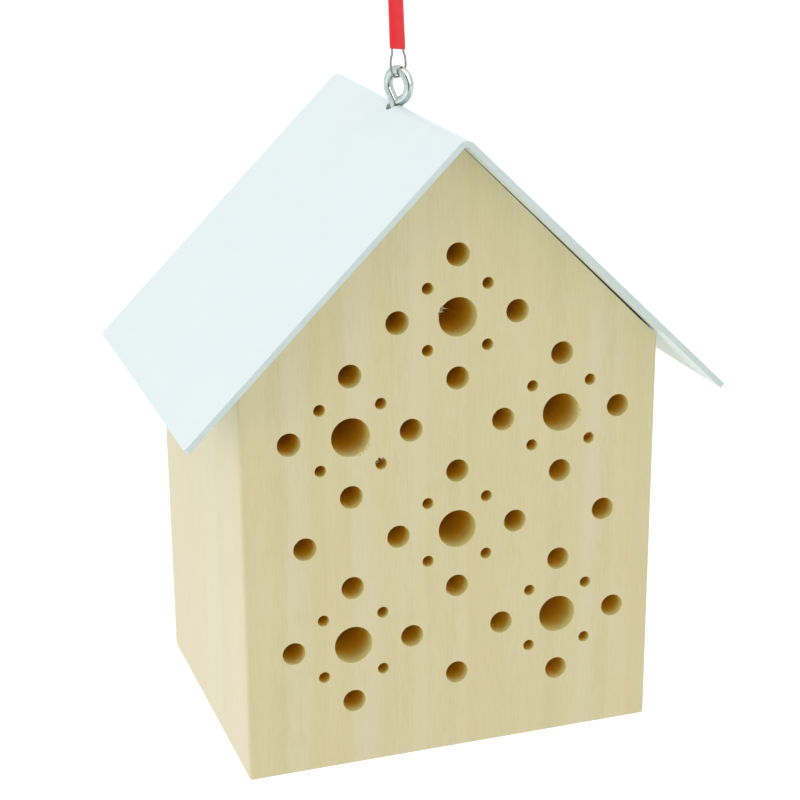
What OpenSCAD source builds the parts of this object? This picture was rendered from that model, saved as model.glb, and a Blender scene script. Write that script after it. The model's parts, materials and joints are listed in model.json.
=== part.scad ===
// Hanging bee hotel: a solid wooden house with drilled nest tunnels, a bent
// sheet-metal roof, and a screw eye that hangs in a loop of steel wire.
// Millimetres. +Z is up, +Y runs from the front face to the back, +X is right.
// The origin is the inside of the wire's top loop, where it rests on its hook.

/* [House block] */
// Width of the wooden block
block_w = 110.5; // [104:0.5:130]
// Depth of the block, front face to back face
block_d = 85; // [80:1:120]
// Height of the side walls, up to the eaves
eave_h = 107.3; // [104:0.1:140]
// Slope of the block's two upper faces
roof_pitch = 44.6; // [42:0.1:48]
// Radius of the sanded edges
edge_r = 0.8; // [0.4:0.1:1.5]

/* [Nest tunnels] */
// Diameter of the large tunnel in the middle of each flower
large_d = 10; // [8:0.5:11]
// Diameter of the medium tunnels
medium_d = 6; // [5:0.5:7]
// Diameter of the small tunnels
small_d = 3; // [2:0.5:4]
// Distance from the middle of a flower to its medium tunnels
petal_reach = 15.75; // [14:0.25:17]
// Distance from one flower to the next, sideways and upwards
flower_step = 28; // [27:0.5:30]
// Distance from the middle flower to the three single tunnels
single_reach = 40.3; // [38:0.1:42]
// Distance from the block's apex down to the middle of the top flower
top_drop = 44; // [43:0.1:48]
// How far the pattern sits to the right of the block's middle
pattern_shift = 1; // [0:0.1:2]
// Depth of the large and medium tunnels
tunnel_depth = 70; // [50:1:76]
// Depth of the small tunnels
small_depth = 50; // [30:1:70]

/* [Roof sheet] */
// Thickness of the painted sheet
sheet_t = 1.5; // [1:0.1:2]
// Inner radius of the bend along the ridge
bend_r = 1.2; // [0.8:0.1:2]
// Length of each panel down the slope, measured inside from the bend's corner
panel_len = 97.5; // [90:0.5:120]
// How far the sheet stands out in front of the block
overhang_front = 8.3; // [4:0.1:15]
// How far the sheet stands out behind the block
overhang_back = 8.7; // [4:0.1:15]
// How far the right panel springs open from the block, in degrees
spring_open = 0.4; // [0:0.1:1]
// Gap between the sheet and the block along the left slope
roof_gap = 0.1; // [0.05:0.05:0.3]
// Gap round the screw eye's shank in the hole through the ridge
roof_hole_gap = 1.3; // [1.3:0.05:1.6]
// How far the hole sits off the shank, along the ring, on the side of its end
roof_hole_shift = 0.4; // [0.4:0.05:0.6]

/* [Screw eye] */
// Diameter of the screw eye's wire
eye_wire_d = 2.6; // [2.4:0.1:2.8]
// Outer diameter of the ring
eye_outer_d = 10.3; // [10:0.1:11]
// How far the ring's middle sits to the side of the shank
eye_offset = 1.4; // [1.2:0.1:1.8]
// Height of the ring's middle above the ridge
eye_rise = 4.95; // [4.9:0.05:5.4]
// Radius of the bend in the neck, at the wire's middle
neck_r = 1.6; // [1.4:0.1:1.8]
// Lean of the straight leg between the neck and the ring, in degrees
leg_lean = 35; // [30:1:40]
// Where the ring's other end leaves its round, in degrees below level
end_lean = 60; // [55:1:65]
// How far the wire swells where a bend runs out into a straight stretch
knuckle = 0.01; // [0.01:0.01:0.05]
// Length of the shank below the ridge, with its point
shank_len = 22; // [15:0.5:24]
// Length of the shank's point
point_len = 3; // [2:0.5:4]
// Width of the point's blunt tip
tip_d = 0.4; // [0.2:0.1:1]
// Turn of the ring's plane away from the house front, in degrees
eye_turn = -66; // [-70:1:-20]
// How far the eye stands behind the middle of the ridge
eye_back = 1.3; // [0:0.1:3]
// Gap between the cut end of the ring and the leg
end_gap = 0.15; // [0.1:0.05:0.3]
// Gap round the shank in its pilot hole
pilot_gap = 0.05; // [0.02:0.01:0.1]
// Depth of the pilot hole past the tip of the shank
pilot_space = 1; // [0.5:0.1:1.5]

/* [Hanger] */
// Diameter of the steel wire
wire_d = 0.6; // [0.5:0.05:0.8]
// Running gap between the wire and the ring
wire_gap = 0.1; // [0.05:0.05:0.2]
// Lean of the hanger, seen along the ring's plane, in degrees
hanger_lean = 2.5; // [0:0.5:8]
// Radius of the top loop, at the wire's middle
loop_r = 3.6; // [3.2:0.1:5]
// Width of the flattened sleeve
sleeve_w = 5; // [4.8:0.1:5.6]
// Thickness of the flattened sleeve
sleeve_t = 1.9; // [1.6:0.1:2.4]
// Wall of the sleeve
sleeve_wall = 0.2; // [0.15:0.05:0.25]
// Length of the sleeve
sleeve_len = 15.6; // [10:0.2:20]
// Height of the sleeve's lower end above the middle of the ring's top
sleeve_z = 4.9; // [4.8:0.1:6]
// How far the sleeve can slide up the wires
sleeve_travel = 2; // [1:0.1:4]
// Gap between the wires and the ends of the slot that the sleeve leaves
sleeve_gap = 0.03; // [0.01:0.01:0.1]
// Outer diameter of the crimped ferrule
ferrule_d = 1.6; // [1.4:0.1:2]
// Length of the crimped ferrule
ferrule_len = 4.4; // [3.5:0.1:5]
// Gap between the wire and the ferrule's bore
crimp_gap = 0.02; // [0.01:0.01:0.05]

/* [Hidden] */

$fn = 96;
// Steps in the bend's arc
bend_steps = 20;
// Sides of the hanger wire, and its rings from one route point to the next
wire_sides = 8;
wire_steps = 2;
// How far a cutter reaches past what it cuts
past = 1;

// The block's sharp apex, and the corner of the bend inside the sheet
apex_h = eave_h + block_w / 2 * tan(roof_pitch);
corner_h = apex_h + roof_gap / cos(roof_pitch);
// The middle of the bend's round, and the top of the ridge
bend_z = corner_h - bend_r / cos(roof_pitch);
ridge_top = bend_z + bend_r + sheet_t;
roof_len = block_d + overhang_front + overhang_back;
eye_y = roof_len / 2 - overhang_front + eye_back;

// The middle flower stands two steps below the top one
pattern_z = apex_h - top_drop - 2 * flower_step;

// The hole in the ridge, which both the leg and the ring's end dip into
roof_hole_r = eye_wire_d / 2 + roof_hole_gap;
roof_hole = roof_hole_shift * [cos(eye_turn), sin(eye_turn)] + [0, eye_y];

// The ring's middle line and height. The neck bends from the shank into a
// straight leg, which meets the ring's round without a corner.
ring_r = (eye_outer_d - eye_wire_d) / 2;
ring_z = ridge_top + eye_rise;
leg_len = ((ring_r + neck_r) * cos(leg_lean) - eye_offset - neck_r) / sin(leg_lean);
neck_z = ring_z - (ring_r + neck_r) * sin(leg_lean) - leg_len * cos(leg_lean);
// The ring's other end runs straight on until its cut face is near the leg
end_turn = leg_lean + end_lean;
ring_turn = 180 + end_turn;
end_len = ((ring_r - eye_wire_d / 2) * (1 + cos(end_turn)) - end_gap) / sin(end_turn);

// Middle of the ring's wire at its top: the wire hangs the eye from here
ring_top = [eye_offset * cos(eye_turn), eye_y + eye_offset * sin(eye_turn), ring_z + ring_r];

// The hanger's route in the plane square to the ring, as [sideways, up] from
// ring_top. It starts and ends inside the ferrule, and runs round the ring.
strand = sleeve_w / 2 - sleeve_wall - sleeve_gap - wire_d / 2;
// The strands part a little above the sleeve's highest place, over this height
parting_gap = 0.2;
parting_h = 3.4;
parting_z = sleeve_z + sleeve_len + sleeve_travel + parting_gap;
// Straight wire at each end of the ferrule, and half the space between the
// wire's ends inside it
run_in = 0.3;
end_space = 0.1;
ferrule_z = parting_z + parting_h + run_in + ferrule_len / 2;
loop_z = ferrule_z + ferrule_len / 2 + run_in;
route_down = [
    [loop_r, ferrule_z - end_space], [loop_r, parting_z + parting_h], [loop_r - 0.3, parting_z + 2.2],
    [strand + 0.4, parting_z + 1], [strand, parting_z], [strand, parting_z - 5],
    [strand, sleeve_z + 5], [strand, sleeve_z - 0.3], [2.2, 4], [2.5, 2.8], [2.6, 1.6],
    [2.5, 0.4], [2.1, -0.8], [1.2, -1.6]
];
route_under = [0, -(eye_wire_d + wire_d) / 2 - wire_gap];
route_up = [for (i = [len(route_down) - 1 : -1 : 1]) [-route_down[i][0], route_down[i][1]]];
route_over = concat(
    [[-loop_r, ferrule_z]],
    [for (turn = [180 : -45 : 0]) [loop_r * cos(turn), loop_z + loop_r * sin(turn)]],
    [[loop_r, ferrule_z + end_space]]
);
route = concat(route_down, [route_under], route_up, route_over);

// The inside of the top loop
hook_up = loop_z + loop_r - wire_d / 2;
hook_point = ring_top + hook_up * [
    sin(hanger_lean) * sin(eye_turn), -sin(hanger_lean) * cos(eye_turn), cos(hanger_lean)
];

// Everything is drawn with the front face at y = 0 and the base at z = 0
module placed() {
    translate(-hook_point) children();
}

// The hanger's frame at the top of the ring: x across the wires, y sideways
// from one strand to the other, z up the leaning strands
module at_hanger() {
    translate(ring_top) rotate([0, 0, eye_turn]) rotate([hanger_lean, 0, 0]) children();
}

// Rounds an edge along +Z on a corner whose sides run towards +X and +Y
module edge_cutter(length) {
    difference() {
        translate([-past, -past, -past]) cube([edge_r + past, edge_r + past, length + 2 * past]);
        translate([edge_r, edge_r, -2 * past]) cylinder(r = edge_r, h = length + 4 * past);
    }
}

module tunnel(x, z, d, depth) {
    translate([pattern_shift + x, -past, pattern_z + z])
        rotate([-90, 0, 0]) cylinder(d = d, h = depth + past);
}

// One large tunnel, four medium ones round it and four small ones between
module flower(x, z) {
    tunnel(x, z, large_d, tunnel_depth);
    for (turn = [0 : 90 : 270])
        tunnel(x + petal_reach * cos(turn), z + petal_reach * sin(turn), medium_d, tunnel_depth);
    for (turn = [45 : 90 : 315])
        tunnel(
            x + petal_reach / sqrt(2) * cos(turn), z + petal_reach / sqrt(2) * sin(turn),
            small_d, small_depth
        );
}

// Six flowers in a diamond, and a single tunnel to the left, below and right
module nest_tunnels() {
    flower(0, 0);
    flower(0, 2 * flower_step);
    for (side = [-1, 1], up = [-1, 1])
        flower(side * flower_step, up * flower_step);
    for (turn = [180, 270, 360])
        tunnel(single_reach * cos(turn), single_reach * sin(turn), medium_d, tunnel_depth);
}

// The block with its apex rounded to lie inside the bend of the sheet
module block_body() {
    round_z = apex_h - bend_r / cos(roof_pitch);
    flat_x = bend_r * sin(roof_pitch);
    flat_z = round_z + bend_r * cos(roof_pitch);
    translate([0, block_d, 0]) rotate([90, 0, 0]) {
        linear_extrude(block_d) polygon([
            [-block_w / 2, 0], [block_w / 2, 0], [block_w / 2, eave_h],
            [flat_x, flat_z], [-flat_x, flat_z], [-block_w / 2, eave_h]
        ]);
        translate([0, round_z, 0]) cylinder(r = bend_r, h = block_d);
    }
}

// Rounds the upright corners and the edges round the base
module edge_rounds() {
    for (x = [0, 1], y = [0, 1])
        translate([(x - 0.5) * block_w, y * block_d, 0])
            mirror([x, 0, 0]) mirror([0, y, 0]) edge_cutter(eave_h + edge_r);
    for (y = [0, 1])
        translate([-block_w / 2, y * block_d, 0]) mirror([0, y, 0])
            rotate([90, 0, 90]) edge_cutter(block_w);
    for (x = [0, 1])
        translate([(x - 0.5) * block_w, block_d, 0]) mirror([x, 0, 0])
            rotate([90, 0, 0]) edge_cutter(block_d);
}

module house_block() {
    color("burlywood") placed() difference() {
        block_body();
        nest_tunnels();
        edge_rounds();
        translate([0, eye_y, ridge_top - shank_len - pilot_space])
            cylinder(d = eye_wire_d + 2 * pilot_gap, h = shank_len + pilot_space);
    }
}

function arc(r, from, to) = [
    for (k = [0 : bend_steps])
        let (turn = from + (to - from) * k / bend_steps)
        r * [cos(turn), sin(turn)]
];

// The bent strip seen from the front, round the middle of its bend
module roof_profile() {
    right_pitch = roof_pitch - spring_open;
    flat_len = panel_len - bend_r * tan(roof_pitch);
    down_right = flat_len * [cos(right_pitch), -sin(right_pitch)];
    down_left = flat_len * [-cos(roof_pitch), -sin(roof_pitch)];
    outside = arc(bend_r + sheet_t, 90 - right_pitch, 90 + roof_pitch);
    inside = arc(bend_r, 90 + roof_pitch, 90 - right_pitch);
    polygon(concat(
        [outside[0] + down_right], outside, [outside[bend_steps] + down_left],
        [inside[0] + down_left], inside, [inside[bend_steps] + down_right]
    ));
}

module roof_sheet() {
    color("aliceblue") placed() difference() {
        translate([0, block_d + overhang_back, bend_z]) rotate([90, 0, 0])
            linear_extrude(roof_len) roof_profile();
        translate([roof_hole[0], roof_hole[1], bend_z - roof_hole_r])
            cylinder(r = roof_hole_r, h = roof_hole_r + bend_r + sheet_t + past);
    }
}

// A part turn of the eye's wire round the y axis, from +X towards +Z
module eye_bend(r, turn) {
    rotate([90, 0, 0]) rotate_extrude(angle = turn) translate([r, 0]) circle(d = eye_wire_d);
}

// A straight stretch of the wire, up from the end of a bend at the origin
module run_out(length) {
    sphere(d = eye_wire_d + 2 * knuckle);
    cylinder(d = eye_wire_d, h = length);
}

// The ring's round, with its straight end. It starts at the origin, up along z
module ring_and_end() {
    sphere(d = eye_wire_d + 2 * knuckle);
    translate([ring_r, 0, 0]) rotate([0, 0, 180]) {
        eye_bend(ring_r, ring_turn);
        rotate([0, -ring_turn, 0]) translate([ring_r, 0, 0]) run_out(end_len);
    }
}

// The shank runs up into the neck, which bends left into the straight leg. The
// leg runs on round the ring, until the ring's cut end meets the leg again.
module screw_eye() {
    straight = neck_z - (ridge_top - shank_len) - point_len;
    color("silver") placed() translate([0, eye_y, neck_z]) rotate([0, 0, eye_turn]) {
        translate([0, 0, -straight]) {
            cylinder(d = eye_wire_d, h = straight);
            mirror([0, 0, 1]) cylinder(d1 = eye_wire_d, d2 = tip_d, h = point_len);
        }
        translate([-neck_r, 0, 0]) {
            eye_bend(neck_r, leg_lean);
            rotate([0, -leg_lean, 0]) translate([neck_r, 0, 0]) {
                run_out(leg_len);
                translate([0, 0, leg_len]) ring_and_end();
            }
        }
    }
}

// A smooth curve through the points p, at the share t of the way from i to i + 1
function smooth(p, i, t) =
    let (
        before = p[max(i - 1, 0)], from = p[i], to = p[i + 1], after = p[min(i + 2, len(p) - 1)],
        out = (to - before) / 2, into = (after - from) / 2, bend = pow(t, 2) * (3 - 2 * t)
    )
    (1 - bend) * from + bend * to + t * pow(1 - t, 2) * out - (1 - t) * pow(t, 2) * into;

function curve(p, steps) = concat(
    [for (i = [0 : len(p) - 2], k = [0 : steps - 1]) smooth(p, i, k / steps)],
    [p[len(p) - 1]]
);

// A round tube along a line of [y, z] points
module tube(line, d, sides) {
    last = len(line) - 1;
    rings = [
        for (i = [0 : last])
            let (
                along = line[min(i + 1, last)] - line[max(i - 1, 0)],
                out = [along[1], -along[0]] / norm(along)
            )
            for (k = [0 : sides - 1])
                let (turn = 360 * k / sides, reach = d / 2 * cos(turn))
                [d / 2 * sin(turn), line[i][0] + reach * out[0], line[i][1] + reach * out[1]]
    ];
    walls = [
        for (i = [0 : last - 1], k = [0 : sides - 1])
            let (
                a = i * sides + k, b = i * sides + (k + 1) % sides,
                c = b + sides, e = a + sides
            )
            each [[a, b, c], [a, c, e]]
    ];
    start_cap = [for (k = [1 : sides - 2]) [0, k + 1, k]];
    end_cap = [for (k = [1 : sides - 2]) [last * sides, last * sides + k, last * sides + k + 1]];
    polyhedron(points = rings, faces = concat(walls, start_cap, end_cap));
}

module hanger_wire() {
    color("dimgray") placed() at_hanger() tube(curve(route, wire_steps), wire_d, wire_sides);
}

// A slot with round ends, w wide along y and t thick
module slot_shape(w, t) {
    square([t, w - t], center = true);
    for (side = [-1, 1])
        translate([0, side * (w - t) / 2]) circle(d = t);
}

module hanger_sleeve() {
    color("crimson") placed() at_hanger() translate([0, 0, sleeve_z])
        linear_extrude(sleeve_len) difference() {
            slot_shape(sleeve_w, sleeve_t);
            slot_shape(sleeve_w - 2 * sleeve_wall, sleeve_t - 2 * sleeve_wall);
        }
}

module crimp_ferrule() {
    color("gainsboro") placed() at_hanger() translate([0, loop_r, ferrule_z - ferrule_len / 2])
        difference() {
            cylinder(d = ferrule_d, h = ferrule_len);
            translate([0, 0, -past]) cylinder(d = wire_d + 2 * crimp_gap, h = ferrule_len + 2 * past);
        }
}

house_block();
roof_sheet();
screw_eye();
hanger_wire();
hanger_sleeve();
crimp_ferrule();
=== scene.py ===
# %% [markdown]
# # A hanging bee hotel
# The real thing is one block of pale wood with a gabled top, drilled from the front with tunnels of
# three sizes for solitary bees. A bent sheet of painted metal covers it. A screw eye goes through
# the sheet into the block, holds the sheet down, and hangs the house in a loop of thin steel wire.
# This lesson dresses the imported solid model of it. Every place is taken from that model, so nothing
# has to be fitted by eye.

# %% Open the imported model
import json
import math
import bpy
import bmesh
from mathutils import Matrix, Vector


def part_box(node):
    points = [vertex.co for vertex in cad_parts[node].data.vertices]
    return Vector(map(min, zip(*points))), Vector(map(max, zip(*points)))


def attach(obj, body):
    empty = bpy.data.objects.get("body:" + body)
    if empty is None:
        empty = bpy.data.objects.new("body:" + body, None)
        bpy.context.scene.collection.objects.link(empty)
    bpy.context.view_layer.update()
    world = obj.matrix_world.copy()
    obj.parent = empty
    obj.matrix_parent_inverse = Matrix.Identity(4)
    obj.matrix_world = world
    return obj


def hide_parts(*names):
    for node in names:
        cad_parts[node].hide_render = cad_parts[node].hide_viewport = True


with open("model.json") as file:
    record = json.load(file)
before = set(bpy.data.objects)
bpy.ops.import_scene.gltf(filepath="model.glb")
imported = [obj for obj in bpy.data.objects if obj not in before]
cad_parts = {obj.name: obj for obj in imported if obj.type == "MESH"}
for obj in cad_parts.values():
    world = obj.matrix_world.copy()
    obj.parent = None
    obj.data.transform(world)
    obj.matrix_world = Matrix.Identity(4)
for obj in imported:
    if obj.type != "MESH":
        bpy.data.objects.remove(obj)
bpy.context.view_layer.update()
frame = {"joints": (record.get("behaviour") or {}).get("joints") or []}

MM = 0.001
scene = bpy.context.scene
block_low, block_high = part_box("house_block")
front_foot = Vector(((block_low.x + block_high.x) / 2, block_low.y, block_low.z))


def in_house(x, y, z):
    """A place in millimetres: x right of the block's middle, y behind its front, z above its base."""
    return front_foot + Vector((x, y, z)) * MM


print("block in millimetres:", [round(size / MM, 1) for size in block_high - block_low])

# %% [markdown]
# ## The camera
# The photograph was taken from half a metre away, from the front left and a little above the roof.
# A camera can be turned by eye until the picture looks alike. Here its place, direction and lens
# were worked out from the corners of the block, the rims of the tunnels and the edges of the roof,
# because then edges can be compared to the pixel. So they are written as plain numbers.

# %% Set up the camera
camera_data = bpy.data.cameras.new("camera")
camera_data.sensor_width = 36
camera_data.lens = 88.83
camera_data.clip_start = 0.01
camera = bpy.data.objects.new("camera", camera_data)
scene.collection.objects.link(camera)
scene.camera = camera
camera_place = in_house(-162.4, -434.65, 253.9)
ahead = Vector((0.30566, 0.89631, -0.32134)).normalized()
right = ahead.cross(Vector((0.1101, 0.302, 0.9469))).normalized()
turn = Matrix((right, right.cross(ahead), -ahead)).transposed()
camera.matrix_world = Matrix.Translation(camera_place) @ turn.to_4x4()
print("camera looks along", [round(part, 3) for part in ahead])

# %% [markdown]
# ## Tools for node trees
# Most of this file builds node trees. One helper adds a node, fills its sockets and links it, so
# that a tree reads from top to bottom like a recipe. The same helper serves shaders and geometry.

# %% Helpers for nodes
GEOMETRY = "NodeSocketGeometry"
NUMBER = "NodeSocketFloat"
COUNT = "NodeSocketInt"
FINISH = "NodeSocketMaterial"


def put(tree, kind, inputs=None, **settings):
    """Adds a node. inputs gives each socket a value, or the socket or sockets that feed it."""
    node = tree.nodes.new(kind)
    for name, value in settings.items():
        setattr(node, name, value)
    for key, value in (inputs or {}).items():
        feeds = value if isinstance(value, list) else [value]
        for feed in feeds:
            if isinstance(feed, bpy.types.NodeSocket):
                tree.links.new(feed, node.inputs[key])
            else:
                node.inputs[key].default_value = feed
    return node


def sum_up(tree, operation, *values):
    """One step of arithmetic on numbers or sockets."""
    return put(tree, "ShaderNodeMath", dict(enumerate(values)), operation=operation).outputs[0]


def product(tree, first, *others):
    for other in others:
        first = sum_up(tree, "MULTIPLY", first, other)
    return first


def vector_sum(tree, operation, *values):
    """One step of arithmetic on vectors."""
    node = put(tree, "ShaderNodeVectorMath", dict(enumerate(values)), operation=operation)
    return node.outputs["Value" if operation in ("LENGTH", "DISTANCE") else "Vector"]


def join_xyz(tree, x=0.0, y=0.0, z=0.0):
    return put(tree, "ShaderNodeCombineXYZ", {0: x, 1: y, 2: z}).outputs[0]


def part_of(tree, vector, axis):
    return put(tree, "ShaderNodeSeparateXYZ", {0: vector}).outputs[axis]


def new_group(name, kind, inputs, outputs):
    """A node tree with named inputs, each (socket type, value), and named outputs."""
    tree = bpy.data.node_groups.new(name, kind)
    for label, (socket_type, value) in inputs.items():
        socket = tree.interface.new_socket(label, in_out="INPUT", socket_type=socket_type)
        if value is not None:
            socket.default_value = value
    for label, socket_type in outputs.items():
        tree.interface.new_socket(label, in_out="OUTPUT", socket_type=socket_type)
    return tree, put(tree, "NodeGroupInput").outputs


print("node helpers are ready")

# %% [markdown]
# Patterns come from noise. It can be read in space or along one line, and a range of it is then
# stretched to the values that a colour or a mask needs.

# %% Helpers for patterns


def millimetres(tree):
    """The place on the piece, in millimetres."""
    model_place = put(tree, "ShaderNodeTexCoord").outputs["Object"]
    return vector_sum(tree, "MULTIPLY", model_place, (1000, 1000, 1000))


def noise(tree, place, scale=1.0, detail=2.0, roughness=0.5, output="Fac"):
    values = {"Vector": place, "Scale": scale, "Detail": detail, "Roughness": roughness}
    return put(tree, "ShaderNodeTexNoise", values).outputs[output]


def line_noise(tree, value, scale, detail):
    """Noise along one line, such as from the heart of a tree outwards."""
    values = {"W": value, "Scale": scale, "Detail": detail}
    return put(tree, "ShaderNodeTexNoise", values, noise_dimensions="1D").outputs["Fac"]


def stretch(tree, value, low, high, to_low=0.0, to_high=1.0):
    """Maps a value from one range to another, and holds it there."""
    values = {"Value": value, "From Min": low, "From Max": high, "To Min": to_low, "To Max": to_high}
    return put(tree, "ShaderNodeMapRange", values, interpolation_type="SMOOTHSTEP").outputs[0]


print("pattern helpers are ready")

# %% [markdown]
# ## Grain
# Wood is a solid pattern: rings round the heart of the tree, drawn out along the trunk. Worked out
# from the place in the block, the same rings run down the front, round the corner and over the end
# grain at the base, as they do in real wood. A picture wrapped on each face could not do that.
# The block, its tunnels and the torn fibres all use this grain, so it is a group.

# %% Rings and bands
grain, given = new_group(
    "wood grain",
    "ShaderNodeTree",
    {
        "Ring Width": (NUMBER, 3.6),
        "Ring Strength": (NUMBER, 0.1),
        "Band Strength": (NUMBER, 1.1),
        "Fibre Width": (NUMBER, 0.4),
        "Fibre Strength": (NUMBER, 1.7),
        "Cloud Strength": (NUMBER, 0.9),
    },
    {"Tone": NUMBER, "Warmth": NUMBER, "Fleck": NUMBER, "Relief": NUMBER},
)
place = millimetres(grain)


def long_noise(across, along, **settings):
    """Noise drawn out along the trunk, with this many waves in a millimetre."""
    return noise(grain, vector_sum(grain, "MULTIPLY", place, (across, across, along)), **settings)


slow = long_noise(0.02, 0.004, output="Color")
wander = vector_sum(grain, "MULTIPLY", vector_sum(grain, "SUBTRACT", slow, (0.5, 0.5, 0.5)), (9, 9, 0))
wandering = vector_sum(grain, "ADD", place, wander)
HEART = (190, 70, 0)
from_heart = vector_sum(grain, "SUBTRACT", wandering, HEART)
distance = vector_sum(grain, "LENGTH", vector_sum(grain, "MULTIPLY", from_heart, (1, 1, 0)))
years = sum_up(grain, "DIVIDE", distance, given["Ring Width"])
year = sum_up(grain, "FRACT", sum_up(grain, "ADD", years, line_noise(grain, years, 0.45, 1)))
late_wood = product(grain, stretch(grain, year, 0.25, 0.9), stretch(grain, year, 0.9, 1.0, 1, 0))
band = sum_up(grain, "SUBTRACT", line_noise(grain, years, 0.5, 1.5), 0.5)
warmth = line_noise(grain, sum_up(grain, "ADD", years, 37), 0.4, 1.5)
print("the heart of the tree is", HEART[0], "mm to the right of the hook")

# %% [markdown]
# Between the rings run fine fibres, short dark flecks and wide pale or dark clouds, all drawn out
# along the trunk. The front also has five stripes that the photograph shows plainly. They are set
# where it shows them, as millimetres right of the block's middle, half width, and how much darker.

# %% Fibres, clouds and stripes
thin = sum_up(grain, "DIVIDE", 1, given["Fibre Width"])
thin_place = vector_sum(grain, "MULTIPLY", place, join_xyz(grain, thin, thin, 0.2))
fibre = noise(grain, thin_place, detail=3, roughness=0.6)
fleck = stretch(grain, long_noise(1.9, 0.22, detail=1), 0.79, 0.83)
cloud = long_noise(0.16, 0.035)
tone = 0.4
for pattern, strength in (
    (band, "Band Strength"),
    (late_wood, "Ring Strength"),
    (sum_up(grain, "SUBTRACT", fibre, 0.5), "Fibre Strength"),
    (sum_up(grain, "SUBTRACT", cloud, 0.5), "Cloud Strength"),
):
    tone = sum_up(grain, "ADD", tone, product(grain, pattern, given[strength]))
across = part_of(grain, wandering, "X")
SEEN_STRIPES = ((-10, 1.9, -0.35), (-6.7, 1, 0.2), (-33.2, 1.2, -0.3), (-36.3, 1.6, 0.25), (4.6, 1.2, 0.3))
for middle, half, darker in SEEN_STRIPES:
    away = sum_up(grain, "ABSOLUTE", sum_up(grain, "SUBTRACT", across, front_foot.x / MM + middle))
    tone = sum_up(grain, "ADD", tone, stretch(grain, away, 0.6 * half, 1.2 * half, darker, 0))
put(grain, "NodeGroupOutput", {"Tone": tone, "Warmth": warmth, "Fleck": fleck, "Relief": fibre})
print("grain group has", len(grain.nodes), "nodes")

# %% [markdown]
# ## Small unevenness
# Paint, plating and plastic are never quite even: they vary a little in tone and ripple a little.
# One group makes both, at a size that each material sets for itself.

# %% The unevenness group
uneven, given = new_group(
    "unevenness",
    "ShaderNodeTree",
    {"Patch Size": (NUMBER, 4.0), "Ripple Size": (NUMBER, 0.6)},
    {"Patch": NUMBER, "Ripple": NUMBER},
)
place = millimetres(uneven)
patch = noise(uneven, place, sum_up(uneven, "DIVIDE", 1, given["Patch Size"]), detail=3)
ripple = noise(uneven, place, sum_up(uneven, "DIVIDE", 1, given["Ripple Size"]))
put(uneven, "NodeGroupOutput", {"Patch": patch, "Ripple": ripple})
print("unevenness group has", len(uneven.nodes), "nodes")

# %% [markdown]
# ## Materials
# Each material is one Principled shader. The patterns only feed its colour, roughness and normal,
# and what is the same all over the surface stands on the shader itself. Two recipes are enough:
# one for the finishes of the wood, and one for paint, plating, plastic and metal.

# %% Helpers for materials


def new_material(name, **values):
    """A material with one Principled shader. Returns it, its tree and the shader."""
    material = bpy.data.materials.new(name)
    material.use_nodes = True
    tree = material.node_tree
    tree.nodes.clear()
    shader = put(tree, "ShaderNodeBsdfPrincipled", values)
    put(tree, "ShaderNodeOutputMaterial", {"Surface": shader.outputs[0]})
    return material, tree, shader


def mixed(tree, amount, first, second):
    """A colour between two others. The first may be a colour or a socket."""
    if not isinstance(first, bpy.types.NodeSocket):
        first = (*first, 1)
    node = put(tree, "ShaderNodeMix", {0: amount, 6: first, 7: (*second, 1)}, data_type="RGBA")
    return node.outputs[2]


def bump(tree, shader, height, depth):
    """Ripples the surface by a height map, depth millimetres deep."""
    values = {"Height": height, "Distance": depth * MM, "Strength": 1}
    tree.links.new(put(tree, "ShaderNodeBump", values).outputs[0], shader.inputs["Normal"])


print("material helpers are ready")

# %% The two recipes
FLECK_BROWN = (0.36, 0.27, 0.15)


def wood_material(name, light, dark, warm, relief, deep=None, sheen=0.0, **settings):
    """A finish of the grain. With a deep colour, it turns to that colour on the way into a tunnel, as painted
    bounce light.
    """
    material, tree, shader = new_material(name, **{"Sheen Weight": sheen, "Sheen Roughness": 0.4})
    wood = put(tree, "ShaderNodeGroup", settings, node_tree=grain)
    colour = mixed(tree, stretch(tree, wood.outputs["Tone"], 0.0, 1.0), light, dark)
    colour = mixed(tree, stretch(tree, wood.outputs["Warmth"], 0.35, 0.65, 0, 0.4), colour, warm)
    colour = mixed(tree, product(tree, wood.outputs["Fleck"], 0.35), colour, FLECK_BROWN)
    # The deep colour is painted bounce light: an orange that grows with the way in, counted in bores.
    if deep:
        behind = part_of(tree, put(tree, "ShaderNodeTexCoord").outputs["Object"], "Y")
        way_in = sum_up(tree, "SUBTRACT", behind, front_foot.y)
        bore = put(tree, "ShaderNodeAttribute", attribute_name="bore").outputs["Fac"]
        depth = stretch(tree, sum_up(tree, "DIVIDE", way_in, bore), -0.1, 1.8)
        colour = mixed(tree, depth, colour, deep)
    tree.links.new(colour, shader.inputs["Base Color"])
    rough = stretch(tree, wood.outputs["Relief"], 0.3, 0.7, 0.5, 0.64)
    tree.links.new(rough, shader.inputs["Roughness"])
    bump(tree, shader, wood.outputs["Relief"], relief)
    return material


def even_material(name, colour, darker, patch_size, ripple_size, ripple_depth, rough, **values):
    """Paint, plating, plastic or metal: two near tones, a range of roughness, and a fine ripple."""
    material, tree, shader = new_material(name, **values)
    sizes = {"Patch Size": patch_size, "Ripple Size": ripple_size}
    fine = put(tree, "ShaderNodeGroup", sizes, node_tree=uneven)
    patch = stretch(tree, fine.outputs["Patch"], 0.3, 0.7)
    tree.links.new(mixed(tree, patch, colour, darker), shader.inputs["Base Color"])
    roughness = stretch(tree, fine.outputs["Ripple"], 0.3, 0.7, *rough)
    tree.links.new(roughness, shader.inputs["Roughness"])
    bump(tree, shader, fine.outputs["Ripple"], ripple_depth)
    return material


print("two recipes: wood, and even surfaces")
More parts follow.
